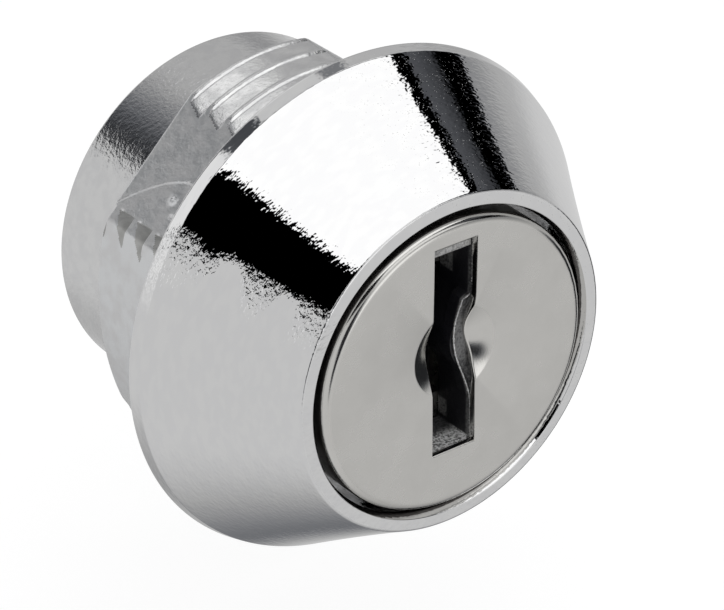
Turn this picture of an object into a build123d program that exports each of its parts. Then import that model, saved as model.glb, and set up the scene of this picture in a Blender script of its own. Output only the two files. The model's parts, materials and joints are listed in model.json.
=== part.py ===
from build123d import *
import os
from math import asin, atan, cos, degrees, sin, tau

# Cam lock: chromed conical collar, interrupted M22 x 1.5 thread, plate tumbler plug and rear cam.
# Millimetres. The lock's axis is Y and its front faces -Y. Z is up and runs along the keyway.
# The origin is on the axis, in the plane of the collar's back face.
# Angles of sections are taken from +X towards +Z, as seen from the front.

# Plug and the play of what turns or slides in it
plug_radius = 6.9
running_gap = 0.05
head_rise = 0.33
head_depth = 1.7
neck_radius = 4.5
tail_square = 6.0
tail_cam_relief = 0.15

# Face cap, pressed from sheet over the plug's head
cap_sheet = 0.4
cap_bevel = 0.45
cap_fit_gap = 0.02
dimple_radius = 2.38
dimple_depth = 0.3
dimple_taper = 0.6

# Keyway
keyway_width = 2.5
keyway_shift_x = 0.2
keyway_wall_top = 0.9
keyway_wall_bottom = 2.0
keyway_end_web = 0.5
plug_wave_depth = 1.0
cap_wave_depth = 0.5
plug_wave_half_length = 2.8
cap_wave_half_length = 2.0

# Plate tumblers, one every pitch along the plug, sprung up and down by turns
wafer_count = 7
wafer_thickness = 1.0
wafer_web = 0.8
wafer_width = 6.6
wafer_throw = 0.8
wafer_flush_gap = 0.05
window_gap = 0.15
window_height = 7.2
window_steps = (0, 2, 1, 3, 2, 0, 1)
window_step = 0.3
ear_height = 0.9
front_web = 0.7
rear_web = 0.8

# Tumbler springs
spring_radius = 0.6
spring_wire_radius = 0.1
spring_length = 2.5
spring_turns = 4
spring_bends = 7
spring_wire_sides = 4
pocket_gap = 0.15

# Housing, from the bore outwards and from the front backwards
channel_gap = 0.2
channel_side_gap = 0.2
barrel_wall = 1.38
relief_rise = 1.22
thread_depth = 0.5
rim_overhang = 2.2
collar_height = 7.54
thread_length = 6.6
cap_recess = 0.1
cap_gap = 0.42
lip_width = 0.77
lip_bevel = 0.1
rim_land = 0.7
rim_taper = 0.2
rim_round = 0.15
rear_bevel = 0.3
end_gap = 0.1
rear_wall = 1.38
recess_depth = 1.83
recess_margin = 1.1

# Flats and plain relieved arcs of the threaded length
flat_angle = 135
flat_depth = 0.62
side_flat_angle = 51
side_flat_depth = 1.4
relief_start_angle = 165
relief_span = 45

# Rear stack: retaining ring, stop washer, cam, disc spring and screw
clip_thickness = 0.6
clip_width = 1.7
clip_opening = 76
clip_offset = 0.3
groove_depth = 0.6
groove_play = 0.04
groove_land = 0.59
stop_thickness = 0.8
stop_tab_reach = 8.3
stop_tab_half_angle = 12
stop_gap = 0.2
stop_sector_floor = 0.7
square_gap = 0.05
quarter_turn = 90
cam_angle = -45
cam_thickness = 1.6
cam_hub_radius = 7.0
cam_width = 10.5
cam_reach = 24.0
cam_junction_round = 3.0
disc_spring_sheet = 0.5
disc_spring_rise = 0.3
disc_spring_radius = 5.0
screw_radius = 2.0
screw_gap = 0.05
screw_length = 5.4
screw_hole_spare = 0.4
screw_head_radius = 3.8
screw_head_height = 2.0
screw_head_bevel = 0.8
socket_width = 2.5
socket_depth = 1.2

# Radii that follow from the sizes above
head_radius = plug_radius + head_rise
cap_radius = head_radius + cap_fit_gap + cap_sheet
bore_radius = plug_radius + running_gap
wafer_radius = plug_radius - wafer_flush_gap
channel_radius = plug_radius + wafer_throw + channel_gap
barrel_radius = channel_radius + barrel_wall
relief_radius = barrel_radius + relief_rise
thread_radius = relief_radius + thread_depth
rim_radius = thread_radius + rim_overhang
counterbore_radius = cap_radius + cap_gap
lip_radius = counterbore_radius + lip_width
groove_radius = neck_radius - groove_depth
clip_radius = groove_radius + clip_width
recess_radius = clip_radius + clip_offset + recess_margin
stop_radius = recess_radius - recess_margin
stop_sector_radius = stop_tab_reach + stop_gap
stop_clear_angle = degrees(asin(running_gap / stop_tab_reach))

# Stations along the axis that follow from the sizes above
front_y = -collar_height
cap_front_y = front_y + cap_recess
head_front_y = cap_front_y + cap_sheet
shoulder_y = head_front_y + head_depth
counterbore_floor_y = shoulder_y + running_gap
slot_width = wafer_thickness + 2 * running_gap
wafer_pitch = slot_width + wafer_web
first_slot_y = shoulder_y + front_web
last_slot_end_y = first_slot_y + (wafer_count - 1) * wafer_pitch + slot_width
plug_end_y = last_slot_end_y + rear_web
keyway_end_y = plug_end_y - keyway_end_web
rear_wall_y = plug_end_y + end_gap
recess_floor_y = rear_wall_y + rear_wall
rear_y = recess_floor_y + recess_depth
groove_start_y = recess_floor_y + running_gap
groove_end_y = groove_start_y + clip_thickness + 2 * groove_play
square_start_y = groove_end_y + groove_land
stop_end_y = square_start_y + stop_thickness
cam_end_y = stop_end_y + cam_thickness
tail_end_y = cam_end_y - tail_cam_relief
screw_seat_y = cam_end_y + disc_spring_sheet + disc_spring_rise
screw_tip_y = screw_seat_y - screw_length

# Keyway, windows and spring pockets that follow from the sizes above
keyway_left = keyway_shift_x - keyway_width / 2
keyway_right = keyway_shift_x + keyway_width / 2
keyway_top = plug_radius - keyway_wall_top
keyway_bottom = keyway_wall_bottom - plug_radius
keyway_centre_z = (keyway_top + keyway_bottom) / 2
window_left = keyway_left - plug_wave_depth - window_gap
window_right = keyway_right + window_gap
pocket_radius = spring_radius + pocket_gap
spring_x = wafer_width / 2 + pocket_radius
ear_end_x = spring_x + spring_radius


def prism(section, start_y, end_y):
    """Extrude a section drawn in X and Z from one station to another along the axis."""
    placed = Plane.XZ.offset(-end_y) * section
    return extrude(placed, amount=end_y - start_y)


def turned(points, rounds=()):
    """Revolve a profile of (radius, station) points about the axis, after rounding some corners."""
    profile = make_face(Polyline(*points, close=True))
    for radius, station, corner_round in rounds:
        corner = profile.vertices().sort_by_distance((radius, station, 0))[0]
        profile = fillet(corner, corner_round)
    return revolve(profile, Axis.Y)


def sector(radius, start_angle, span):
    """A pie slice about the axis."""
    arc = CenterArc((0, 0), radius, start_angle, span)
    return make_face(Line((0, 0), arc @ 0) + arc + Line(arc @ 1, (0, 0)))


def square_hole():
    """The hole in a piece that the plug's square tail drives."""
    side = tail_square + 2 * square_gap
    return Rot(0, 0, cam_angle) * Rectangle(side, side)


def wave(start, heading, turn_side, depth, half_length):
    """Three tangent arcs that leave a straight wall, bow out by a depth and come back to it."""
    turn = 2 * atan(depth / half_length)
    radius = half_length / (2 * sin(turn))
    turn_degrees = turn_side * degrees(turn)
    leave = JernArc(start, heading, radius, turn_degrees)
    crest = JernArc(leave @ 1, leave % 1, radius, -2 * turn_degrees)
    back = JernArc(crest @ 1, crest % 1, radius, turn_degrees)
    return leave + crest + back


def keyway_section(depth, half_length):
    """The keyway: an upright slot whose two walls bow towards -X in the middle."""
    wave_top = keyway_centre_z + half_length
    wave_bottom = keyway_centre_z - half_length
    right_wave = wave((keyway_right, wave_top), (0, -1), -1, depth, half_length)
    left_wave = wave((keyway_left, wave_bottom), (0, 1), 1, depth, half_length)
    top_end = Polyline(
        (keyway_left, wave_top),
        (keyway_left, keyway_top),
        (keyway_right, keyway_top),
        (keyway_right, wave_top),
    )
    bottom_end = Polyline(
        (keyway_right, wave_bottom),
        (keyway_right, keyway_bottom),
        (keyway_left, keyway_bottom),
        (keyway_left, wave_bottom),
    )
    return make_face(top_end + right_wave + bottom_end + left_wave)


def dimple(top_radius, top_y):
    """The shallow cone pressed into the cap round the middle of the keyway."""
    cone = turned([
        (0, top_y),
        (top_radius, top_y),
        (top_radius - dimple_taper, top_y + dimple_depth),
        (0, top_y + dimple_depth),
    ])
    return Pos(keyway_shift_x, 0, keyway_centre_z) * cone


def wafer_start_y(index):
    """The station of one tumbler's front face."""
    return first_slot_y + index * wafer_pitch + running_gap


def wafer_side(index):
    """+1 for a tumbler sprung towards +Z with its ear on +X, -1 for one sprung the other way."""
    return 1 if index % 2 == 0 else -1


def housing():
    """Collar, threaded length and rear barrel, cast in one piece with the plug's bore."""
    shell = turned(
        [
            (counterbore_radius, front_y + lip_bevel),
            (counterbore_radius + lip_bevel, front_y),
            (lip_radius - lip_bevel, front_y),
            (lip_radius, front_y + lip_bevel),
            (rim_radius - rim_taper, -rim_land),
            (rim_radius, 0),
            (thread_radius, 0),
            (thread_radius, thread_length),
            (barrel_radius, thread_length),
            (barrel_radius, rear_y - rear_bevel),
            (barrel_radius - rear_bevel, rear_y),
            (recess_radius, rear_y),
            (recess_radius, recess_floor_y),
            (neck_radius + running_gap, recess_floor_y),
            (neck_radius + running_gap, rear_wall_y),
            (bore_radius, rear_wall_y),
            (bore_radius, counterbore_floor_y),
            (counterbore_radius, counterbore_floor_y),
        ],
        rounds=[(rim_radius - rim_taper, -rim_land, rim_round)],
    )
    shell -= tumbler_channels()
    shell -= thread_flats()
    shell -= thread_reliefs()
    shell -= stop_recess()
    return shell


def tumbler_channels():
    """Four grooves in the bore that take the tumblers' ends at each quarter turn."""
    width = wafer_width + 2 * channel_side_gap
    cross = Rectangle(width, 2 * channel_radius) + Rectangle(2 * channel_radius, width)
    return prism(cross & Circle(channel_radius), counterbore_floor_y, rear_wall_y)


def thread_flats():
    """What two opposite flats and a deeper one at the upper right take off the threaded length."""
    across = 2 * (thread_radius - flat_depth)
    kept = Rot(0, 0, flat_angle) * Rectangle(across, 2 * rim_radius)
    side_reach = thread_radius - side_flat_depth
    side_slab = Rectangle(2 * rim_radius, 2 * rim_radius, align=(Align.MAX, Align.CENTER))
    kept &= Rot(0, 0, side_flat_angle) * (Pos(side_reach, 0) * side_slab)
    return prism(Circle(rim_radius) - kept, 0, thread_length)


def thread_reliefs():
    """What two opposite plain arcs of smaller radius take off the threaded length."""
    arcs = sector(rim_radius, relief_start_angle, relief_span)
    arcs += sector(rim_radius, relief_start_angle + 180, relief_span)
    return prism(arcs - Circle(relief_radius), 0, thread_length)


def stop_recess():
    """The arc in the rear face in which the stop washer's tab travels a quarter turn."""
    half_angle = stop_tab_half_angle + stop_clear_angle
    start_angle = cam_angle - quarter_turn - half_angle
    arc = sector(stop_sector_radius, start_angle, quarter_turn + 2 * half_angle)
    return prism(arc, rear_y - stop_sector_floor, rear_y)


def plug():
    """Plug with head, keyway, tumbler slots, neck, retaining groove and square tail."""
    core = turned([
        (0, head_front_y),
        (head_radius, head_front_y),
        (head_radius, shoulder_y),
        (plug_radius, shoulder_y),
        (plug_radius, plug_end_y),
        (neck_radius, plug_end_y),
        (neck_radius, groove_start_y),
        (groove_radius, groove_start_y),
        (groove_radius, groove_end_y),
        (neck_radius, groove_end_y),
        (neck_radius, square_start_y),
        (0, square_start_y),
    ])
    square = Rot(0, 0, cam_angle) * Rectangle(tail_square, tail_square)
    core += prism(square, square_start_y, tail_end_y)
    core -= prism(Circle(screw_radius + screw_gap), screw_tip_y - screw_hole_spare, tail_end_y)
    core -= prism(keyway_section(plug_wave_depth, plug_wave_half_length), head_front_y, keyway_end_y)
    core -= dimple(dimple_radius + cap_fit_gap, head_front_y)
    for index in range(wafer_count):
        core -= wafer_slot(index)
    return core


def wafer_slot(index):
    """One tumbler's slot through the plug, with the room for its ear and its spring."""
    start_y = wafer_start_y(index) - running_gap
    side = wafer_side(index)
    slot = Rectangle(wafer_width + 2 * running_gap, 2 * (plug_radius + wafer_throw))
    ear_room_height = ear_height + wafer_throw + 2 * running_gap
    ear_room = Rectangle(spring_x + pocket_radius, ear_room_height, align=(Align.MIN, Align.MIN))
    slot += Rot(0, 0, 90 - 90 * side) * (Pos(0, -running_gap) * ear_room)
    pocket = Cylinder(pocket_radius, spring_length, align=(Align.CENTER, Align.CENTER, Align.MAX))
    pocket = Pos(spring_x, start_y + slot_width / 2, 0) * pocket
    return prism(slot, start_y, start_y + slot_width) + flipped(pocket, side)


def flipped(shape, side):
    """A shape as it is, or turned half round about the axis for a tumbler sprung downwards."""
    return Rot(0, 90 - 90 * side, 0) * shape


def wafer(index):
    """Plate tumbler: rounded ends flush with the plug, a window for the key and a spring ear."""
    side = wafer_side(index)
    plate = Rectangle(wafer_width, 2 * wafer_radius) & Circle(wafer_radius)
    ear = Rectangle(ear_end_x, ear_height, align=(Align.MIN, Align.MIN))
    plate += Rot(0, 0, 90 - 90 * side) * ear
    window = Rectangle(window_right - window_left, window_height)
    middle_step = max(window_steps) / 2
    window_z = keyway_centre_z + (window_steps[index] - middle_step) * window_step
    plate -= Pos((window_left + window_right) / 2, window_z) * window
    return prism(plate, wafer_start_y(index), wafer_start_y(index) + wafer_thickness)


def coil_path(radius, length):
    """A helix about Z as short straight runs, from its lowest point upwards."""
    steps = spring_turns * spring_bends
    turn_step = tau / spring_bends
    points = []
    for step in range(steps + 1):
        angle = step * turn_step
        points.append((radius * cos(angle), radius * sin(angle), length * step / steps))
    return Polyline(*points)


def wafer_spring(index):
    """Helical compression spring between its pocket's floor and the tumbler's ear."""
    end_room = spring_wire_radius + running_gap
    coil = coil_path(spring_radius - spring_wire_radius, spring_length - 2 * end_room)
    wire = Plane(origin=coil @ 0, z_dir=coil % 0) * RegularPolygon(spring_wire_radius, spring_wire_sides)
    spring = sweep(wire, path=coil, transition=Transition.RIGHT)
    middle_y = wafer_start_y(index) + wafer_thickness / 2
    placed = Pos(spring_x, middle_y, end_room - spring_length) * spring
    return flipped(placed, wafer_side(index))


def face_cap():
    """Sheet cap over the plug's head, with a rolled edge, a dimple and the key's slot."""
    skirt_end_y = shoulder_y - running_gap
    inner_radius = cap_radius - cap_sheet
    cup = turned([
        (0, cap_front_y),
        (cap_radius - cap_bevel, cap_front_y),
        (cap_radius, cap_front_y + cap_bevel),
        (cap_radius, skirt_end_y),
        (inner_radius, skirt_end_y),
        (inner_radius, head_front_y),
        (0, head_front_y),
    ])
    cup += dimple(dimple_radius, head_front_y)
    cup -= dimple(dimple_radius, cap_front_y)
    slot = keyway_section(cap_wave_depth, cap_wave_half_length)
    return cup - prism(slot, cap_front_y, head_front_y + dimple_depth)


def retaining_ring():
    """Snap ring in the neck's groove, thicker opposite its opening."""
    inner_radius = groove_radius + cap_fit_gap
    ring = Pos(0, clip_offset) * Circle(clip_radius) - Circle(inner_radius)
    ring -= sector(2 * clip_radius, -90 - clip_opening / 2, clip_opening)
    ring = Rot(0, 0, cam_angle) * ring
    start_y = groove_start_y + groove_play
    return prism(ring, start_y, start_y + clip_thickness)


def stop_washer():
    """Washer on the square tail whose tab limits the plug to a quarter turn."""
    tab = sector(stop_tab_reach, cam_angle - stop_tab_half_angle, 2 * stop_tab_half_angle)
    return prism(Circle(stop_radius) + tab - square_hole(), square_start_y, stop_end_y)


def cam():
    """Flat cam: round hub, straight arm with a round tip."""
    tip_radius = cam_width / 2
    arm_length = cam_reach - tip_radius
    outline = Circle(cam_hub_radius)
    outline += Rectangle(arm_length, cam_width, align=(Align.MIN, Align.CENTER))
    junctions = outline.vertices().sort_by_distance((0, 0, 0))[0:2]
    outline = fillet(junctions, cam_junction_round)
    outline += Pos(arm_length, 0) * Circle(tip_radius)
    outline = Rot(0, 0, cam_angle) * outline
    return prism(outline - square_hole(), stop_end_y, cam_end_y)


def disc_spring():
    """Conical spring washer: its outer edge bears on the cam, its inner edge on the screw."""
    hole_radius = screw_radius + 2 * screw_gap
    return turned([
        (disc_spring_radius, cam_end_y),
        (disc_spring_radius, cam_end_y + disc_spring_sheet),
        (hole_radius, screw_seat_y),
        (hole_radius, screw_seat_y - disc_spring_sheet),
    ])


def cam_screw():
    """Screw with a domed head and a hexagon socket."""
    head_end_y = screw_seat_y + screw_head_height
    screw = turned([
        (0, screw_tip_y),
        (screw_radius, screw_tip_y),
        (screw_radius, screw_seat_y),
        (screw_head_radius, screw_seat_y),
        (screw_head_radius, head_end_y - screw_head_bevel),
        (screw_head_radius - screw_head_bevel, head_end_y),
        (0, head_end_y),
    ])
    socket = RegularPolygon(socket_width / 2, 6, major_radius=False)
    return screw - prism(socket, head_end_y - socket_depth, head_end_y)


pieces = {
    "housing": housing(),
    "plug": plug(),
    "face_cap": face_cap(),
    "retaining_ring": retaining_ring(),
    "stop_washer": stop_washer(),
    "cam": cam(),
    "disc_spring": disc_spring(),
    "cam_screw": cam_screw(),
}
for number in range(wafer_count):
    pieces[f"wafer_{number + 1}"] = wafer(number)
    pieces[f"wafer_spring_{number + 1}"] = wafer_spring(number)

os.makedirs("parts", exist_ok=True)
for name, piece in pieces.items():
    export_step(piece, f"parts/{name}.step")
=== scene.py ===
"""Looks of a cam lock: chromed collar and thread, satin face cap, cast plug and the cam stack behind it.

Lengths are millimetres until a mesh is written. The lock's axis is Y, its front faces -Y and Z is up.
Angles of sections are degrees from +X towards +Z, as seen from the front.
"""

import sys

import json
import logging
from dataclasses import dataclass
from enum import Enum
from math import cos, radians, sin, tau

import bpy
import numpy as np
from mathutils import Matrix, Vector

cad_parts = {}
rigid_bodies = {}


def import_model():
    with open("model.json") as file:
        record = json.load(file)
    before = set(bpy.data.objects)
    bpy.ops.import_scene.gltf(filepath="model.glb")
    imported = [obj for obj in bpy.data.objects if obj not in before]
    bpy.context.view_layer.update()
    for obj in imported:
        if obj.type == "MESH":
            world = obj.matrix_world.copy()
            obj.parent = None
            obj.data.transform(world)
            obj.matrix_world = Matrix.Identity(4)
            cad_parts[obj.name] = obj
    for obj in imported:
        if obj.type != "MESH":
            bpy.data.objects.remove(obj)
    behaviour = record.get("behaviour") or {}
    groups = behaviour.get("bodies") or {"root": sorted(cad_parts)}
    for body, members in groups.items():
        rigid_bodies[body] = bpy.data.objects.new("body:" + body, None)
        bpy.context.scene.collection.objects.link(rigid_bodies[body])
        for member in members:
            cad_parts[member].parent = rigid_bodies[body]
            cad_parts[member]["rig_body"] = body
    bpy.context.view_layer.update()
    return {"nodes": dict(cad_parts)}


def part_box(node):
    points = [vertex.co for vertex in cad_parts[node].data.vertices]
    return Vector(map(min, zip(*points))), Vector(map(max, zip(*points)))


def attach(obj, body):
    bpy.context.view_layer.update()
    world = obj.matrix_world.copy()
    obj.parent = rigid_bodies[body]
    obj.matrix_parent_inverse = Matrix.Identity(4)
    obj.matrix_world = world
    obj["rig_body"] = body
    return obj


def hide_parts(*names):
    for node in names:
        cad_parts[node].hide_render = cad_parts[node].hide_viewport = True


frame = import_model()

MM = 0.001
PHOTO_SIZE = (724, 610)
SENSOR = 36.0

log = logging.getLogger("cam_lock")


class Ends(Enum):
    """How the first and the last row of a skin are closed."""

    JOINED = "the last row joins the first"
    CAPPED = "a flat face closes each end"


class Wire:
    """A shader socket that takes arithmetic: an expression on wires adds the Math nodes for it."""

    def __init__(self, graph: "Graph", socket: bpy.types.NodeSocket) -> None:
        """Keep the socket and the graph that it belongs to."""
        self.graph = graph
        self.socket = socket

    def __add__(self, other: "Wire | float") -> "Wire":
        """Sum."""
        return self.graph.math("ADD", self, other)

    def __radd__(self, other: float) -> "Wire":
        """Sum with a number on the left."""
        return self.graph.math("ADD", other, self)

    def __sub__(self, other: "Wire | float") -> "Wire":
        """Difference."""
        return self.graph.math("SUBTRACT", self, other)

    def __rsub__(self, other: float) -> "Wire":
        """Difference from a number on the left."""
        return self.graph.math("SUBTRACT", other, self)

    def __mul__(self, other: "Wire | float") -> "Wire":
        """Product."""
        return self.graph.math("MULTIPLY", self, other)

    def __rmul__(self, other: float) -> "Wire":
        """Product with a number on the left."""
        return self.graph.math("MULTIPLY", other, self)

    def __truediv__(self, other: "Wire | float") -> "Wire":
        """Quotient."""
        return self.graph.math("DIVIDE", self, other)

    def __rtruediv__(self, other: float) -> "Wire":
        """Quotient of a number on the left."""
        return self.graph.math("DIVIDE", other, self)


class Graph:
    """A node tree under construction."""

    def __init__(self, tree: bpy.types.NodeTree) -> None:
        """Start from an empty tree."""
        self.tree = tree
        tree.nodes.clear()

    def node(self, kind: str, settings: dict, inputs: dict, output: int | str = 0) -> Wire:
        """Add a node.

        Args:
            kind: Type of the node.
            settings: Properties set before anything else.
            inputs: Values or wires of its sockets, by name or index.
            output: The socket that the returned wire starts from.

        Returns:
            The wire from that output, or from the node's only input where it has no output.
        """
        made = self.tree.nodes.new(kind)
        for name, value in settings.items():
            setattr(made, name, value)
        for name, value in inputs.items():
            if isinstance(value, Wire):
                self.tree.links.new(value.socket, made.inputs[name])
            else:
                made.inputs[name].default_value = value
        return Wire(self, made.outputs[output] if made.outputs else made.inputs[0])

    def math(self, operation: str, first: Wire | float, second: Wire | float = 0.0) -> Wire:
        """Math node on one or two values."""
        return self.node("ShaderNodeMath", {"operation": operation}, {0: first, 1: second})

    def vector(self, x: Wire | float, y: Wire | float, z: Wire | float) -> Wire:
        """Vector from three values."""
        return self.node("ShaderNodeCombineXYZ", {}, {0: x, 1: y, 2: z})

    def split(self, vector: Wire) -> tuple[Wire, Wire, Wire]:
        """The three values of a vector."""
        made = self.node("ShaderNodeSeparateXYZ", {}, {0: vector}).socket.node
        return tuple(Wire(self, socket) for socket in made.outputs)

    def ramp(self, value: Wire, low: float, high: float, start: float = 0.0, end: float = 1.0) -> Wire:
        """Value carried smoothly from start at low to end at high."""
        settings = {"interpolation_type": "SMOOTHSTEP"}
        return self.node("ShaderNodeMapRange", settings, {0: value, 1: low, 2: high, 3: start, 4: end})

    def band(self, value: Wire, low: float, high: float, soft: float) -> Wire:
        """1 between two limits and 0 outside them, with soft edges."""
        above = self.ramp(value, low - soft, low + soft)
        return above * self.ramp(value, high - soft, high + soft, 1.0, 0.0)

    def between(self, share: Wire, first: Wire | float, second: Wire | float) -> Wire:
        """Value that goes from the first to the second as the share goes from 0 to 1."""
        return first + share * (second - first)

    def noise(self, vector: Wire, scale: float, detail: float = 2.0, roughness: float = 0.5) -> Wire:
        """Cloudy noise between about 0.25 and 0.75."""
        inputs = {"Vector": vector, "Scale": scale, "Detail": detail, "Roughness": roughness}
        return self.node("ShaderNodeTexNoise", {}, inputs)

    def blend(self, factor: Wire | float, first: Wire | tuple, second: Wire | tuple) -> Wire:
        """Colour between two colours."""
        settings = {"data_type": "RGBA"}
        first = first if isinstance(first, Wire) else (*first, 1)
        second = second if isinstance(second, Wire) else (*second, 1)
        return self.node("ShaderNodeMix", settings, {0: factor, 6: first, 7: second}, 2)


class Metal:
    """What every finish of this lock has in common: a metal with a fine relief."""

    metallic = 1.0

    def material(self) -> bpy.types.Material:
        """Build the material.

        Returns:
            The node material named after the finish.
        """
        made = bpy.data.materials.new(self.name)
        made.use_nodes = True
        graph = Graph(made.node_tree)
        place = graph.node("ShaderNodeTexCoord", {}, {}, "Object")
        colour, roughness, height = self.surface(graph, place)
        bump = {"Strength": 1.0, "Distance": self.relief * MM, "Height": height}
        relief = graph.node("ShaderNodeBump", {}, bump)
        inputs = {"Base Color": colour, "Metallic": self.metallic, "Roughness": roughness, "Normal": relief}
        shader = graph.node("ShaderNodeBsdfPrincipled", {}, inputs)
        graph.node("ShaderNodeOutputMaterial", {}, {"Surface": shader})
        return made

    def surface(self, graph: Graph, place: Wire) -> tuple[Wire, Wire, Wire]:
        """Colour, roughness and height over the surface."""
        raise NotImplementedError

    def tone(self, graph: Graph, cloud: Wire, low: float, high: float) -> Wire:
        """Colour that goes from the shade to the clear colour as a cloud goes from low to high."""
        return graph.blend(graph.ramp(cloud, low, high), self.shade, self.colour)

    def dullness(self, graph: Graph, cloud: Wire, low: float = 0.3, high: float = 0.7) -> Wire:
        """Roughness that falls from its highest value to its lowest as a cloud goes from low to high."""
        return graph.ramp(cloud, low, high, self.gloss[1], self.gloss[0])


@dataclass(frozen=True)
class PlatedCasting(Metal):
    """Chrome over a die casting: the polish leaves a fine drawn-out orange peel, pits and specks."""

    name: str
    colour: tuple[float, float, float] = (0.80, 0.80, 0.80)
    shade: tuple[float, float, float] = (0.78, 0.78, 0.785)
    gloss: tuple[float, float] = (0.012, 0.02)
    girth: float = 11.0
    grain_length: float = 0.32
    grain_width: float = 0.15
    slant: tuple[float, float] = (0.83, 0.56)
    relief: float = 0.009
    coarse_scale: float = 0.35
    coarse_share: float = 0.35
    pit_size: float = 0.07
    pit_depth: float = 0.45
    pit_share: float = 0.205
    pit_soft: float = 0.07
    pit_gather: float = 0.22
    pitted_from: tuple[float, float] = (-0.4, 0.1)
    rough_way: tuple[float, float] = (-0.866, 0.5)
    rough_within: tuple[float, float] = (0.986, 0.998)
    rough_patch: tuple[float, float, float] = (0.06, 0.42, 0.56)
    stroke_scale: float = 0.9
    stroke_depth: float = 6.0

    def surface(self, graph: Graph, place: Wire) -> tuple[Wire, Wire, Wire]:
        """Grain drawn out round the axis, pits that gather on the right, and strokes in a rough patch.

        The grain is noise on the direction round the axis and on the distance along the cone. The
        strokes lie where the direction round the axis is near the rough way.
        """
        x, y, z = graph.split(place)
        radius = graph.math("SQRT", x * x + z * z)
        along = (y * self.slant[0] + radius * self.slant[1]) / (self.grain_width * MM)
        turns = self.girth / self.grain_length
        drawn = graph.vector(x / radius * turns, along, z / radius * turns)
        grain = graph.noise(drawn, 1.0, 1.0)
        coarse = graph.noise(drawn, self.coarse_scale, 1.0)
        cell = graph.noise(place, 1 / (self.pit_size * MM), 1.0) + (0.5 - coarse) * self.pit_gather
        pits = graph.ramp(cell, self.pit_share, self.pit_share + self.pit_soft)
        pits = pits * graph.ramp(x / radius, *self.pitted_from)
        near = x / radius * self.rough_way[0] + z / radius * self.rough_way[1]
        scale, low, high = self.rough_patch
        rough = graph.ramp(near, *self.rough_within) * graph.ramp(graph.noise(drawn, scale, 1.0), low, high)
        strokes = graph.noise(drawn, self.stroke_scale, 2.0, 0.6) * rough
        height = grain + coarse * self.coarse_share + pits * self.pit_depth + strokes * self.stroke_depth
        return self.tone(graph, coarse, 0.4, 0.65), self.dullness(graph, coarse), height


@dataclass(frozen=True)
class PlatedSkin(Metal):
    """Chrome straight over the cast skin: soft lumps with a fine grain."""

    name: str
    colour: tuple[float, float, float] = (0.80, 0.80, 0.80)
    shade: tuple[float, float, float] = (0.72, 0.72, 0.725)
    gloss: tuple[float, float] = (0.2, 0.3)
    lump: float = 0.34
    grain: float = 0.09
    grain_share: float = 0.35
    patch_scale: float = 0.35
    relief: float = 0.012

    def surface(self, graph: Graph, place: Wire) -> tuple[Wire, Wire, Wire]:
        """Lumps and grain in the height, broad soft patches in the gloss and the tone."""
        lumps = graph.noise(place, 1 / (self.lump * MM))
        grain = graph.noise(place, 1 / (self.grain * MM))
        patch = graph.noise(place, self.patch_scale / (self.lump * MM))
        height = lumps + grain * self.grain_share
        return self.tone(graph, patch, 0.35, 0.65), self.dullness(graph, patch, 0.35, 0.65), height


@dataclass(frozen=True)
class SatinSheet(Metal):
    """Fine blasted sheet, evenly satin with a faint mottle."""

    name: str
    colour: tuple[float, float, float] = (0.70, 0.69, 0.665)
    shade: tuple[float, float, float] = (0.675, 0.665, 0.64)
    gloss: tuple[float, float] = (0.27, 0.29)
    grain: float = 0.07
    mottle: float = 1.6
    relief: float = 0.0022

    def surface(self, graph: Graph, place: Wire) -> tuple[Wire, Wire, Wire]:
        """Grain of the blasted skin, with broad soft patches in its gloss and tone."""
        grain = graph.noise(place, 1 / (self.grain * MM), 3.0, 0.6)
        mottle = graph.noise(place, 1 / (self.mottle * MM), 3.0, 0.6)
        return self.tone(graph, mottle, 0.3, 0.7), self.dullness(graph, mottle), grain


@dataclass(frozen=True)
class CastMetal(Metal):
    """Bare casting with a coarse sparkling grain and dull hollows."""

    name: str
    metallic: float = 0.4
    colour: tuple[float, float, float] = (0.66, 0.66, 0.65)
    shade: tuple[float, float, float] = (0.12, 0.12, 0.12)
    gloss: tuple[float, float] = (0.35, 0.6)
    grain: float = 0.13
    patches: float = 0.9
    patch_share: float = 0.3
    relief: float = 0.03

    def surface(self, graph: Graph, place: Wire) -> tuple[Wire, Wire, Wire]:
        """Sharp grain that darkens in its hollows, in patches."""
        grain = graph.noise(place, 1 / (self.grain * MM), 4.0, 0.65)
        patch = graph.noise(place, 1 / (self.patches * MM))
        mixed = grain * (1 - self.patch_share) + patch * self.patch_share
        return self.tone(graph, mixed, 0.38, 0.6), self.dullness(graph, patch), grain


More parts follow.
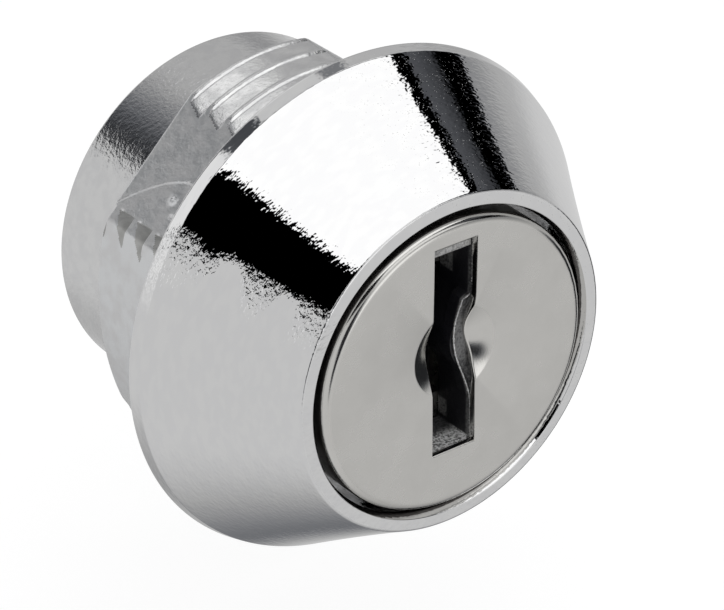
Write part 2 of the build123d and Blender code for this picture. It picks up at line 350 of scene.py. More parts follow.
@dataclass(frozen=True)
class KeywayMetalPaintedLight(CastMetal):
    """The plug's casting, with painted shade and light: painted dim on the face, painted black inside as
    shade, and painted light on the keyway's sill.

    A lit spot, where the painted shade gives way to the casting's colour, is its lowest and highest z and
    its front and rear y.
    """

    metallic: float = 0.15
    # the first colour is the painted shade inside the keyway and on the face; the second paints light as
    # glints on the sill
    black: tuple[float, float, float] = (0.012, 0.012, 0.016)
    painted_light_colour: tuple[float, float, float] = (1.0, 1.0, 1.0)
    face: float = -6.7
    face_fade: float = 0.15
    face_unshaded_share: float = 0.28
    sill_height: float = -4.85
    sill_soft: float = 0.06
    sill_end: tuple[float, float] = (-6.3, -5.5)
    sill_least: float = 0.1
    spots: tuple[tuple[float, float, float, float], ...] = (
        (3.6, 5.1, -5.6, -3.9),
        (-4.6, -3.7, -5.3, -4.2),
    )
    spot_soft: float = 0.08
    lit_spot_share: float = 0.5

    def surface(self, graph: Graph, place: Wire) -> tuple[Wire, Wire, Wire]:
        """Casting's grain under painted shade: its tone goes to black behind the face, with painted light
        on the sill and the spots.
        """
        colour, roughness, height = super().surface(graph, place)
        _, y, z = graph.split(place)
        soft = self.spot_soft * MM
        # painted shade: the face keeps only a share of its colour and everything behind it goes black,
        # except on the lit spots
        unshaded = graph.ramp(y, (self.face - self.face_fade) * MM, self.face * MM, self.face_unshaded_share, 0.0)
        for bottom, top, front, rear in self.spots:
            spot = graph.band(z, bottom * MM, top * MM, soft) * graph.band(y, front * MM, rear * MM, soft)
            unshaded = unshaded + spot * self.lit_spot_share
        # painted light: near the mouth the sill turns to the casting's colour with near-white glints, as if
        # lit through the slot
        sill = graph.ramp(z, self.sill_height * MM, (self.sill_height + self.sill_soft) * MM, 1.0, 0.0)
        sill = sill * graph.ramp(y, self.sill_end[0] * MM, self.sill_end[1] * MM, 1.0, self.sill_least)
        painted_glints = graph.blend(graph.ramp(height, 0.4, 0.6), colour, self.painted_light_colour)
        return graph.blend(sill, graph.blend(unshaded, self.black, colour), painted_glints), roughness, height


@dataclass(frozen=True)
class RolledPlate(Metal):
    """Stamped strip or plated steel: soft mottle under fine straight rolling lines."""

    name: str
    colour: tuple[float, float, float]
    shade: tuple[float, float, float]
    gloss: tuple[float, float] = (0.24, 0.36)
    line_width: float = 0.07
    line_stretch: float = 14.0
    mottle: float = 1.2
    relief: float = 0.004

    def surface(self, graph: Graph, place: Wire) -> tuple[Wire, Wire, Wire]:
        """Lines along the plate's longer way, and clouds of tone from the plating."""
        x, y, z = graph.split(place)
        pitch = self.line_width * MM
        stretched = graph.vector(x / pitch, y / pitch, z / (pitch * self.line_stretch))
        lines = graph.noise(stretched, 1.0, 3.0, 0.6)
        mottle = graph.noise(place, 1 / (self.mottle * MM), 4.0, 0.6)
        return self.tone(graph, mottle, 0.3, 0.7), self.dullness(graph, mottle), lines


@dataclass(frozen=True)
class Finishes:
    """Every finish on the lock."""

    collar: PlatedCasting = PlatedCasting("collar_chrome")
    lip: PlatedCasting = PlatedCasting(
        "lip_chrome", (0.84, 0.84, 0.84), (0.82, 0.82, 0.825), (0.2, 0.28), relief=0.004, stroke_depth=0.0
    )
    thread: PlatedSkin = PlatedSkin("thread_chrome", gloss=(0.2, 0.27), relief=0.02)
    # painted shade: the notch facets get a darker chrome that stands in for the shade they lie in
    notch_painted_shade: PlatedSkin = PlatedSkin("notch_chrome_painted_shade", (0.44, 0.44, 0.43), (0.36, 0.36, 0.35), (0.3, 0.36))
    flat: PlatedSkin = PlatedSkin("flat_chrome", (0.76, 0.77, 0.78), gloss=(0.34, 0.42), relief=0.022)
    barrel: PlatedSkin = PlatedSkin(
        "barrel_chrome", (0.76, 0.76, 0.76), gloss=(0.09, 0.14), lump=0.22, relief=0.016
    )
    bore: PlatedCasting = PlatedCasting("bore_chrome", gloss=(0.2, 0.3))
    cap: SatinSheet = SatinSheet("satin_steel")
    pressed: SatinSheet = SatinSheet("pressed_steel", gloss=(0.1, 0.14), relief=0.0015)
    # painted shade: the skirt, of the same steel as the cap, is coloured nearly black for the shade in the
    # gap round the cap
    skirt: SatinSheet = SatinSheet("skirt_steel_painted_shade", (0.2, 0.19, 0.18), (0.14, 0.13, 0.125), (0.3, 0.4))
    # the plug's casting carries painted shade in the keyway and painted light on its sill
    plug: KeywayMetalPaintedLight = KeywayMetalPaintedLight("cast_zinc")
    # the burr is real, and its near-white colour also paints the highlight along the keyway's edge
    burr: CastMetal = CastMetal(
        "cut_zinc_painted_highlight", 0.7, (0.95, 0.95, 0.94), (0.6, 0.6, 0.6), (0.3, 0.4), relief=0.01
    )
    land: CastMetal = CastMetal(
        "worn_zinc", 0.6, (0.6, 0.6, 0.59), (0.28, 0.28, 0.28), (0.3, 0.4), relief=0.02
    )
    tumbler: RolledPlate = RolledPlate("nickel_silver", (0.56, 0.55, 0.53), (0.44, 0.43, 0.41))
    spring: RolledPlate = RolledPlate("spring_steel", (0.46, 0.46, 0.47), (0.38, 0.38, 0.39), (0.2, 0.28))
    plated: RolledPlate = RolledPlate("plated_steel", (0.64, 0.65, 0.66), (0.54, 0.55, 0.57))


class Workshop:
    """Turns surfaces and frame nodes into dressed pieces of the model."""

    def __init__(self) -> None:
        """Build one material for each finish, on first use."""
        self.made: dict[str, bpy.types.Material] = {}

    def material(self, finish: Metal) -> bpy.types.Material:
        """The material of a finish."""
        if finish.name not in self.made:
            self.made[finish.name] = finish.material()
        return self.made[finish.name]

    def dress(self, node: str, finish: Metal) -> None:
        """Give a frame node its finish."""
        materials = frame["nodes"][node].data.materials
        materials.clear()
        materials.append(self.material(finish))
        log.info("%s keeps its frame shape, in %s", node, finish.name)

    def skin(
        self,
        node: str,
        points: np.ndarray,
        finishes: list[Metal],
        zones: np.ndarray | None = None,
        ends: Ends = Ends.JOINED,
        name: str | None = None,
        sharp: float = 40.0,
        stands: bool = True,
    ) -> bpy.types.Object:
        """Make a closed skin of quads that stands for a node of the frame.

        The point in row i and column j is a corner of the quads beside it. Columns run round the
        surface and always join; rows join or end in a flat face. Rows times columns points outwards.

        Args:
            node: The node that the piece stands for, whose body it takes.
            points: Rows by columns by three coordinates.
            finishes: The finishes that zones counts in.
            zones: The finish of each quad, by row and column, or None for the first everywhere.
            ends: How the rows end.
            name: The piece's name, or None for the node's name with _skin.
            sharp: Angle in degrees from which an edge is drawn sharp.
            stands: Whether the piece stands for the node; if not, it is added to it.

        Returns:
            The piece.
        """
        rows, columns, _ = points.shape
        index = np.arange(rows * columns).reshape(rows, columns)
        below = np.roll(index, -1, axis=0)
        quads = np.stack([index, below, np.roll(below, -1, axis=1), np.roll(index, -1, axis=1)], axis=-1)
        caps = []
        if ends is Ends.CAPPED:
            quads = quads[:-1]
            caps = [index[0].tolist(), index[-1, ::-1].tolist()]
        faces = quads.reshape(-1, 4).tolist() + caps
        mesh = bpy.data.meshes.new(name or f"{node}_skin")
        mesh.from_pydata(points.reshape(-1, 3) * MM, [], faces)
        for finish in finishes:
            mesh.materials.append(self.material(finish))
        if zones is not None:
            kinds = np.concatenate([zones.reshape(-1), np.zeros(len(caps), int)])
            mesh.polygons.foreach_set("material_index", kinds.astype(np.int32))
        mesh.shade_smooth()
        mesh.set_sharp_from_angle(angle=radians(sharp))
        mesh.validate()
        made = bpy.data.objects.new(mesh.name, mesh)
        bpy.context.scene.collection.objects.link(made)
        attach(made, frame["nodes"][node]["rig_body"])
        if stands:
            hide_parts(node)
        log.info("%s: %d faces for %s", made.name, len(faces), node)
        return made


def corner_box(node: str) -> tuple[np.ndarray, np.ndarray]:
    """Lowest and highest corner of a frame node, in millimetres."""
    low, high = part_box(node)
    return np.array(low) / MM, np.array(high) / MM


def unit(vectors: np.ndarray) -> np.ndarray:
    """Vectors of length one."""
    return vectors / np.linalg.norm(vectors, axis=-1, keepdims=True)


def rounded(corners: list[tuple[float, float, float]], closed: bool = True, steps: int = 5) -> np.ndarray:
    """Outline with a tangent arc at each corner.

    A corner turns by an angle t, so its arc of radius r starts r tan(t / 2) before it and sweeps t
    about a centre on the inner side. A guard point close to each end of an arc keeps its shading off
    the straight run beside it.

    Args:
        corners: First and second coordinate and radius of each corner.
        closed: Whether the last corner leads back to the first; if not, the two end corners stay sharp.
        steps: Points on each arc.

    Returns:
        The outline's points, one to a row.
    """
    table = np.array(corners, float)
    place, radius = table[:, :2], table[:, 2]
    ahead = unit(np.roll(place, -1, axis=0) - place)
    behind = np.roll(ahead, 1, axis=0)
    cross = behind[:, 0] * ahead[:, 1] - behind[:, 1] * ahead[:, 0]
    turn = np.arctan2(cross, (behind * ahead).sum(axis=1))
    reach = (radius * np.tan(np.abs(turn) / 2))[:, None]
    start, end = place - reach * behind, place + reach * ahead
    inward = np.sign(turn)[:, None] * np.stack([-behind[:, 1], behind[:, 0]], axis=1)
    centre = start + radius[:, None] * inward
    sweep = turn[:, None] * np.linspace(0, 1, steps)
    spoke = (start - centre)[:, None, :]
    across = np.stack([-spoke[..., 1], spoke[..., 0]], axis=-1)
    arcs = centre[:, None, :] + spoke * np.cos(sweep)[..., None] + across * np.sin(sweep)[..., None]
    guard = 0.25 * radius[:, None]
    arcs = np.concatenate([(start - guard * behind)[:, None], arcs, (end + guard * ahead)[:, None]], axis=1)
    if closed:
        return arcs.reshape(-1, 2)
    return np.concatenate([place[:1], arcs[1:-1].reshape(-1, 2), place[-1:]])


def turned(radius: np.ndarray, station: np.ndarray, angles: np.ndarray) -> np.ndarray:
    """Points at radius and station about the axis: (r cos a, y, r sin a) for each row and angle a."""
    radius, station, angles = np.broadcast_arrays(radius, station, np.radians(angles))
    return np.stack([radius * np.cos(angles), station, radius * np.sin(angles)], axis=-1)


def turned_profile(profile: np.ndarray, columns: int) -> np.ndarray:
    """A profile of radius and station carried round the axis."""
    angles = np.arange(columns) * 360 / columns
    return turned(profile[:, :1], profile[:, 1:], angles[None, :])


def fold(angle: np.ndarray, period: float) -> np.ndarray:
    """Angle from the nearest multiple of a period."""
    return (angle + period / 2) % period - period / 2


def soft_min(first: np.ndarray, second: np.ndarray, width: float) -> np.ndarray:
    """Smaller of two values, with the corner between them rounded over a width."""
    return (first + second - np.sqrt((first - second) ** 2 + width**2)) / 2


def hump(distance: np.ndarray, width: float) -> np.ndarray:
    """1 at distance 0, falling as a bell to nearly 0 at twice the width."""
    return np.exp(-((distance / width) ** 2))


@dataclass
class Housing:
    """Collar, interrupted thread and rear barrel, one plated casting."""

    shop: Workshop
    finishes: Finishes
    counterbore: float = 8.07
    counterbore_floor: float = -5.29
    mouth: float = 8.13
    mouth_wall: float = 7.98
    mouth_depth: float = 0.4
    mouth_near: float = 0.06
    mouth_shift: float = 0.07
    mouth_shift_angle: float = 310.0
    lip_outer_round: float = 0.16
    lip_outer: float = 8.775
    cone_dip: float = 0.045
    cone_rows: int = 24
    rim_land: float = 0.7
    rim_taper: float = 0.2
    rim_round: float = 0.3
    thread_radius: float = 11.0
    thread_length: float = 6.6
    barrel: float = 9.28
    bevel: float = 0.3
    bore: float = 6.95
    channel: float = 7.9
    channel_half_width: float = 3.5
    rear_wall: float = 8.76
    recess: float = 7.0
    recess_floor: float = 10.14
    neck_hole: float = 4.55
    sector: float = 8.5
    sector_depth: float = 0.7
    sector_middle: float = -90.0
    sector_half: float = 57.35
    flat_angle: float = 135.0
    flat_reach: float = 10.38
    side_flat_angle: float = 51.0
    side_flat_reach: float = 9.6
    relief_angle: float = 185.0
    relief_half: float = 31.0
    relief_depth: float = 0.56
    cut_round: float = 0.03
    pitch: float = 1.5
    rib_station: float = 4.97
    rib_angle: float = 100.0
    rib_half: float = 0.165
    root_front: float = 10.75
    root_rear: float = 10.88
    rib_crown: float = 0.35
    rib_edge: float = 0.022
    ridge_from: tuple[float, float] = (134.5, 2.8)
    ridge_bend: tuple[float, float] = (1.556, 1.7)
    ridge_size: tuple[float, float] = (0.045, 0.045)
    degree: float = 0.18
    spots: tuple[tuple[float, float, float, float], ...] = (
        (140.8, 3.4, 0.2, 0.12),
        (140.8, 3.4, 0.08, -0.2),
        (145, 2.9, 0.1, -0.08),
        (173, 4.3, 0.1, -0.07),
    )
    notch_from: float = 150.4
    notch_span: float = 9.0
    notch_depth: float = 0.3
    least_cut: float = 0.02
    thread_rows: int = 100
    edge: float = 0.1

    def angles(self) -> np.ndarray:
        """Angles of the columns: close together where the flat and its notches show, wider elsewhere.

        Returns:
            Angles over one turn, with a pair beside each end of the stop washer's recess.
        """
        fine = np.arange(96, 168, 0.4)
        wide = np.arange(168, 456, 1.2)
        ends = self.sector_middle + 360 + self.sector_half * np.array([-1, 1])
        pairs = (ends[:, None] + np.array([-0.04, 0.04])).reshape(-1)
        wide = wide[np.abs(wide[:, None] - ends).min(axis=1) > 0.3]
        return np.sort(np.concatenate([fine, wide, pairs]))

    def crest(self, angle: np.ndarray) -> np.ndarray:
        """Outer surface of the threaded length without its grooves.

        The crest circle is cut by two opposite flats and a deeper side flat, each reach / cos(angle
        from its normal), and by two opposite reliefs that dip as a parabola.

        Args:
            angle: Angles in degrees.

        Returns:
            Radii at those angles.
        """
        off_flat = fold(angle - self.flat_angle, 180)
        flat = self.flat_reach / np.cos(np.radians(np.clip(off_flat, -60, 60)))
        off_side = np.clip(fold(angle - self.side_flat_angle, 360), -60, 60)
        side = self.side_flat_reach / np.cos(np.radians(off_side))
        off_relief = fold(angle - self.relief_angle, 180) / self.relief_half
        relief = self.thread_radius - self.relief_depth * np.clip(1 - off_relief**2, 0, None)
        return soft_min(soft_min(flat, relief, self.cut_round), side, self.cut_round)

    def ribs(self, angle: np.ndarray, station: np.ndarray) -> np.ndarray:
        """Thread surface without flats.

        A right-hand thread: along the axis from one rib's middle the phase runs from 0 to 1. Within
        the half width of a rib the surface is at the crest; between ribs it rises from the front root
        to the rear root as a sawtooth.

        Args:
            angle: Angles in degrees.
            station: Stations along the axis.

        Returns:
            Radii there.
        """
        start = self.rib_station + self.pitch * (self.rib_angle - angle) / 360
        along = (station - start) % self.pitch
        half = self.rib_half
        share = (along - half) / (self.pitch - 2 * half)
        root = self.root_front + (self.root_rear - self.root_front) * share
        from_rib = np.minimum(along, self.pitch - along)
        top = self.thread_radius - self.rib_crown * np.clip(from_rib - half / 2, 0, None) ** 2
        blend = 1 / (1 + np.exp((from_rib - half) / self.rib_edge))
        return root + (top - root) * blend

    def marks(self, angle: np.ndarray, station: np.ndarray) -> np.ndarray:
        """Heights of the casting's own marks: a curved flow ridge on the flat, a pip and three flecks.

        Each is a bell across the distance in millimetres. The ridge's angle grows from its start with a
        power of the distance along the axis; a spot has an angle, a station, a size and a height.

        Args:
            angle: Angles in degrees.
            station: Stations along the axis.

        Returns:
            Heights there.
        """
        first_angle, first_station = self.ridge_from
        rise, power = self.ridge_bend
        ridge = first_angle + rise * np.clip(station - first_station, 0, None) ** power
        width, tall = self.ridge_size
        height = tall * hump((angle - ridge) * self.degree, width) * (station > first_station - 0.2)
        for spot_angle, spot_station, size, spot_height in self.spots:
            away = np.hypot((angle - spot_angle) * self.degree, station - spot_station)
            height = height + spot_height * hump(away, size)
        return height

    def thread(self, angle: np.ndarray, station: np.ndarray) -> np.ndarray:
        """Radius of the threaded length: the ribs, or the cut's surface where that is lower."""
        crest = self.crest(angle)
        grooved = soft_min(crest, self.ribs(angle, station), self.cut_round)
        grooved = np.where(self.below_flat(angle), crest - self.notches(angle, station), grooved)
        return grooved + self.marks(angle, station)

    def below_flat(self, angle: np.ndarray) -> np.ndarray:
        """Whether an angle lies between the flat and the middle of the relief."""
        return (angle > self.notch_from) & (angle < self.relief_angle)

    def notches(self, angle: np.ndarray, station: np.ndarray) -> np.ndarray:
        """Depth of the three facets in which the grooves run out below the flat.

        A facet is a plane: its depth falls evenly with the share of a groove's width from the groove's
        front side, and with the angle from the flat, and ends at 0.

        Args:
            angle: Angles in degrees.
            station: Stations along the axis.

        Returns:
            Depths there.
        """
        start = self.rib_station + self.pitch * (self.rib_angle - angle) / 360
        across = ((station - start) % self.pitch - self.rib_half) / (self.pitch - 2 * self.rib_half)
        left = 1 - (angle - self.notch_from) / self.notch_span
        return self.notch_depth * np.clip(left - across, 0, 1) * (across > 0) * self.below_flat(angle)

    def collar(self, front: float, rim: float) -> np.ndarray:
        """Profile of the collar: gap wall, lip, hollow cone and tapered rim.

        The cone's straight run sinks by 4 t (1 - t) of its dip, t being the share of its length.

        Args:
            front: Station of the lip.
            rim: Radius of the rim.

        Returns:
            Points of radius and station, from the gap's floor to the collar's back face.
        """
        edge_r, edge_y = rim - self.rim_taper, -self.rim_land
        middle = ((self.lip_outer + edge_r) / 2, (front + edge_y) / 2, 0)
        lip = rounded(
            [
                (self.counterbore, self.counterbore_floor, 0.05),
                (self.counterbore, front + 2 * self.mouth_depth, 0.1),
                (self.mouth_wall, front + 1.5 * self.mouth_depth, 0.05),
                (self.mouth_wall, front + self.mouth_depth, 0.1),
                (self.mouth, front, 0.05),
                (self.lip_outer, front, self.lip_outer_round),
                middle,
            ],
            closed=False,
            steps=9,
        )[:-1]
        back = rounded(
            [
                middle,
                (edge_r, edge_y, self.rim_round),
                (rim, 0, 0.12),
                (self.thread_radius, 0, 0.05),
            ],
            closed=False,
            steps=8,
        )[1:]
        share = np.linspace(0, 1, self.cone_rows + 2)[:, None]
        run = lip[-1] + (back[0] - lip[-1]) * share
        length_r, length_y = unit(back[0] - lip[-1])
        run = run + np.array([-length_y, length_r]) * self.cone_dip * 4 * share * (1 - share)
        return np.concatenate([lip[:-1], run, back[1:]])

    def build(self) -> None:
        """Join the profile's stretches, row by row, into one closed skin.

        A stretch is an array of radii and one of stations, by row and angle, and a row's quads take
        the finish of the stretch that the row is in.
        """
        low, high = corner_box("housing")
        front, rear, rim = low[1], high[1], high[0]
        angles = self.angles()[None, :]
        flat = np.zeros_like(angles)
        collar = self.collar(front, rim)
        near_mouth = np.abs(collar[:, :1] - self.mouth) < self.mouth_near
        in_mouth = near_mouth & (collar[:, 1:] < front + self.edge)
        shift = in_mouth * self.mouth_shift * np.cos(np.radians(angles - self.mouth_shift_angle))
        edge = self.edge
        slope = 0.3 * edge
        stations = np.linspace(edge, self.thread_length - edge, self.thread_rows)[:, None]
        wall = self.thread(angles, stations)
        first, last = wall[:1], wall[-1:]
        end = self.thread_length
        barrel = rounded(
            [
                (self.thread_radius, end, 0.05),
                (self.barrel, end, edge),
                (self.barrel, rear - self.bevel, 0.15),
                (self.barrel - self.bevel, rear, 0.15),
                (self.sector, rear, 0.05),
            ],
            closed=False,
        )[1:-1]
        inside = np.abs(fold(angles - self.sector_middle, 360)) < self.sector_half
        pocket = np.where(inside, self.sector, self.recess)
        shelf = rear - self.sector_depth
        off_channel = np.abs(fold(angles, 90))
        channel_side = self.channel_half_width / np.sin(np.radians(np.clip(off_channel, 15, None)))
        bore = np.clip(channel_side, self.bore, self.channel)
        stretches = [
            (collar[:-1, :1] + shift[:-1], collar[:-1, 1:] + flat),
            (np.concatenate([first + edge, first + slope]), np.array([[0], [slope]]) + flat),
            (wall, stations + flat),
            (np.concatenate([last - slope, last - edge]), np.array([[end - slope], [end]]) + flat),
            (barrel[:, :1] + flat, barrel[:, 1:] + flat),
            (pocket + edge / 2, flat + rear),
            (pocket, flat + rear - edge / 2),
            (pocket, flat + shelf),
            (flat + self.recess, np.where(inside, shelf, shelf - 0.02)),
            (flat + self.recess, flat + self.recess_floor),
            (flat + self.neck_hole, flat + self.recess_floor),
            (flat + self.neck_hole, flat + self.rear_wall),
            (bore, flat + self.rear_wall),
            (bore, flat + self.counterbore_floor),
        ]
        radius = np.concatenate([stretch[0] for stretch in stretches])
        station = np.concatenate([stretch[1] for stretch in stretches])
        points = turned(radius, station, angles + flat)
        zones = self.zones(radius, station, angles)
        finish = self.finishes
        skins = [finish.collar, finish.lip, finish.thread, finish.flat, finish.barrel, finish.bore]
        skins.append(finish.notch_painted_shade)
        self.shop.skin("housing", points, skins, zones, name="housing_casting")

    def zones(self, radius: np.ndarray, station: np.ndarray, angles: np.ndarray) -> np.ndarray:
        """Finish of each quad, by where the casting is.

        Args:
            radius: Radii by row and column.
            station: Stations by row and column.
            angles: Angle of each column.

        Returns:
            0 collar, 1 lip, 2 thread, 3 flats and reliefs, 4 barrel, 5 bore and rear, 6 notches,
            for each quad. The notches' darker finish is painted shade.
        """
        rows, columns = radius.shape
        row = np.arange(rows)[:, None] + np.zeros((1, columns), int)
        thread_start = int(np.argmax(station[:, 0] >= 0)) + 3
        lip_start = int(np.argmax(radius[:, 0] > self.mouth - 0.01))
        lip_end = int(np.argmax(radius[:, 0] > self.lip_outer - self.lip_outer_round / 2))
        behind = row >= thread_start
        threaded = behind & (station < self.thread_length)
        cut = (radius < self.ribs(angles, station) - self.least_cut) | self.below_flat(angles)
        notched = threaded & (self.notches(angles, station) > self.least_cut)
        zones = np.full((rows, columns), 5)
        zones[~behind] = 0
        zones[(row >= lip_start) & (row < lip_end)] = 1
        zones[threaded] = 2
        zones[threaded & cut] = 3
        # the notch facets take the darker finish that paints their shade
        zones[notched] = 6
        zones[behind & (station >= self.thread_length) & (radius > self.sector + self.edge)] = 4
        return zones


@dataclass
class FaceAndPlug:
    """Satin cap with its key slot and dimple, and the plug that it is pressed over."""

    shop: Workshop
    finishes: Finishes
    sheet: float = 0.4
    roll: float = 0.44
    skirt_from: float = 0.24
    play: tuple[float, float] = (0.18, -0.18)
    slot_half_width: float = 1.25
    slot_up: float = 5.72
    slot_down: float = 5.42
    slot_centre: tuple[float, float] = (0.125, 0.62)
    right_bow: tuple[float, float, float] = (0.33, 0.9, 1.95)
    left_bow: tuple[float, float, float] = (0.12, 0.4, 1.6)
    dimple_radius: float = 2.38
    dimple_depth: float = 0.55
    dimple_taper: float = 1.3
    dimple_soft: float = 0.03
    edge_side: float = 1.5
    edge_bow: float = 0.92
    edge_middle: float = 0.9
    edge_half: float = 4.1
    ledge: float = 2.85
    face_sink: float = 0.19
    ledge_rise: float = 0.36
    ward_depth: float = 0.8
    ward_soft: float = 0.05
    ward_wall: float = 1.9
    burr_size: float = 0.045
    burr_sink: tuple[float, float] = (1.4, 2.4)
    land: tuple[float, float] = (5.7, 6.4)
    land_proud: float = 0.02
    land_depth: float = 0.3
    land_round: float = 0.04
    land_past: tuple[float, float] = (0.2, 0.15)
    edge: float = 0.09
    dot: float = 0.01
    rim_over: float = 0.03

    def slot_outline(self) -> np.ndarray:
        """Offsets of the slot's outline from its centre, counter-clockwise as seen from the front.

        Four straight sides with points evenly spaced along them, whose x is moved towards -X by the
        bow: half of 1 + cos(pi z / half length) times its depth, within the half length.

        Returns:
            Points of x and z.
        """
        w, top, bottom = self.slot_half_width, self.slot_up, -self.slot_down
        up = np.linspace(bottom, top, 97)
        across = np.linspace(w, -w, 25)
        sides = [(np.full(96, w), up[:-1]), (across[:-1], np.full(24, top))]
        sides += [(np.full(96, -w), up[:0:-1]), (across[:0:-1], np.full(24, bottom))]
        outline = np.concatenate([np.stack(side, axis=1) for side in sides])
        right, left = outline[:, 0] > w - self.dot, outline[:, 0] < self.dot - w
        for side, (depth, middle, half) in ((right, self.right_bow), (left, self.left_bow)):
            reach = np.clip(np.abs(outline[:, 1] - middle) / half, 0, 1)
            outline[:, 0] -= side * depth * (1 + np.cos(np.pi * reach)) / 2
        return outline

    def build_cap(self) -> None:
        """Carry the slot's outline out to the rolled edge, down the skirt and back inside.

        Each column leaves the slot's centre in the direction of one point of its outline. On the disc
        the distance from the centre grows along it, first over the dimple's rings and then to the
        cap's circle; the height is the dimple's cone. The disc has the satin finish, the dimple and the
        roll are pressed smooth, and the skirt is painted dark as shade.
        """
        _, high = corner_box("face_cap")
        front, skirt, rim = corner_box("housing")[0][1], high[1], high[0] + self.rim_over
        play = np.array(self.play)
        outline = self.slot_outline()
        away = np.linalg.norm(outline, axis=1)[None, :]
        heading = outline / away.T
        centre = np.array(self.slot_centre)

        def ring(distance: np.ndarray, depth: float, inset: float = 0.0) -> np.ndarray:
            """Points on the disc or below it at a distance from the slot's centre."""
            place = centre + heading * distance[:, None]
            ramp = np.clip((self.dimple_radius - distance) / self.dimple_taper, 0, 1)
            station = front + depth + self.dimple_depth * ramp + inset
            return np.stack([place[:, 0], station, place[:, 1]], axis=1)

        def circle(radius: float, station: float) -> np.ndarray:
            """Points on a circle about the lock's axis, one on each column's line."""
            offset = centre - play
            reach = heading @ offset
            distance = -reach + np.sqrt(reach**2 - offset @ offset + radius**2)
            place = centre + heading * distance[:, None]
            return np.stack([place[:, 0], np.full(len(place), station), place[:, 1]], axis=1)

        start = away[0]
        edge = self.edge
        floor, top, soft = self.dimple_radius - self.dimple_taper, self.dimple_radius, self.dimple_soft
        steps = (0, 0.03, 0.08, floor - soft, floor + soft, (floor + top) / 2, top - soft, top + soft)
        distances = [np.maximum(start + edge + 0.02 * count, step) for count, step in enumerate(steps)]
        disc = [ring(start, 0, edge), ring(start + edge * 0.3, 0, edge * 0.3)]
        disc += [ring(distance, 0) for distance in distances]
        cup = rounded(
            [
                (0, front, 0.1),
                (rim, front, self.roll),
                (rim, skirt, 0.06),
                (rim - self.sheet, skirt, 0.06),
                (rim - self.sheet, front + self.sheet, 0.1),
                (0, front + self.sheet, 0.1),
            ],
            closed=False,
            steps=9,
        )[1:-1]
        wall = [circle(radius, station) for radius, station in cup]
        under = [ring(distance, self.sheet) for distance in reversed(distances)]
        under += [ring(start, self.sheet, -edge)]
        points = np.stack(disc + wall + under)
        station = points[:, :, 1].max(axis=1)
        row = np.arange(len(points))
        beyond = row >= len(disc)
        in_wall = (row > len(disc)) & (row < len(disc) + len(wall))
        off = np.linalg.norm(points[:, :, [0, 2]] - centre, axis=-1)
        in_dish = (off < self.dimple_radius - soft - self.dot) & ~beyond[:, None]
        zones = np.zeros(points.shape[:2], int)
        zones[beyond & (station > front + self.dot / 3)] = 1
        # the skirt's finish is painted shade
        zones[in_wall & (station > front + self.skirt_from)] = 2
        zones[in_dish] = 1
        skins = [self.finishes.cap, self.finishes.pressed, self.finishes.skirt]
        self.shop.skin("face_cap", points, skins, zones, sharp=50)

    def keyway_edge(self, height: np.ndarray) -> np.ndarray:
        """Edge of the plug's face at the right of the keyway.

        The edge bows towards -X by half of 1 + cos(pi t) times its depth, t being the share of the half
        length from the bow's middle, and a slanted ledge ends the bow above.

        Args:
            height: Heights z.

        Returns:
            The edge's x at those heights.
        """
        share = np.clip(np.abs(height - self.edge_middle) / self.edge_half, 0, 1)
        bowed = self.edge_side - self.edge_bow * (1 + np.cos(np.pi * share)) / 2
        return np.minimum(bowed + np.clip((height - self.ledge) * 2, 0, None), self.edge_side)

    def add_to_plug(self, points: np.ndarray, finish: Metal, name: str) -> None:
        """Make a piece with flat ends that the plug carries beside its own shape."""
        self.shop.skin("plug", points, [finish], ends=Ends.CAPPED, name=name, stands=False)

    def build_ward(self) -> None:
        """Rib beside the keyway: a rectangle from the plug's wall to the bowed edge, carried upwards."""
        height = np.linspace(self.edge_middle - self.edge_half, self.ledge + self.ledge_rise, 90)
        edge = self.keyway_edge(height)[:, None]
        face, depth, soft = corner_box("plug")[0][1] + self.face_sink, self.ward_depth, self.ward_soft
        wall = np.full_like(edge, self.ward_wall)
        loop_x = np.concatenate([edge + soft, edge, edge, edge + soft, wall, wall], axis=1)
        loop_y = face + np.array([-self.dot, soft - self.dot, depth - soft, depth, depth, -self.dot])
        points = np.stack(np.broadcast_arrays(loop_x, loop_y, height[:, None]), axis=-1)
        self.add_to_plug(points, self.finishes.plug, "keyway_ward")

    def build_land(self) -> None:
        """Land of the plug above the keyway: a small plate with soft edges, carried across the keyway."""
        face = corner_box("plug")[0][1]
        low, high = self.land
        front, rear = face - self.land_proud, face + self.land_depth
        corners = ((front, low), (rear, low), (rear, high), (front, high))
        section = rounded([(*corner, self.land_round) for corner in corners])
        left = self.slot_centre[0] - self.slot_half_width - self.land_past[0]
        across = np.linspace(left, self.edge_side - self.land_past[1], 12)
        points = np.insert(section[None] + np.zeros((12, 1, 1)), 0, across[:, None], axis=2)
        self.add_to_plug(points[::-1], self.finishes.land, "keyway_land")

    def build_burr(self) -> None:
        """Ragged burr on the keyway's edge, whose near-white colour is partly a painted highlight: a small
        circle carried up it with a varying radius.

        The radius varies with the height as a sum of sines, and the burr follows the ward's sunken
        face in the middle and the plug's face above and below it.
        """
        middle = self.slot_centre[1]
        height = np.linspace(middle - self.slot_down, middle + self.slot_up - 0.1, 320)
        edge = self.keyway_edge(height)
        face = corner_box("plug")[0][1]
        level, fall = self.burr_sink
        sink = self.face_sink * np.clip(level - np.abs(height - middle) / fall, 0, 1)
        wobble = 1 + 0.35 * np.sin(height * 9.1) * np.sin(height * 23.7 + 1) + 0.2 * np.sin(height * 41)
        around = np.arange(8) * tau / 8
        size = self.burr_size * wobble[:, None]
        points = np.stack(
            [
                edge[:, None] + size * np.cos(around),
                face + sink[:, None] + size * np.sin(around),
                height[:, None] + 0 * size * around,
            ],
            axis=-1,
        )
        self.add_to_plug(points[::-1], self.finishes.burr, "keyway_burr_and_highlight")

    def build(self) -> None:
        """Make the cap, dress the plug and add the rib and burr of its keyway."""
        self.build_cap()
        self.shop.dress("plug", self.finishes.plug)
        self.build_ward()
        self.build_land()
        self.build_burr()


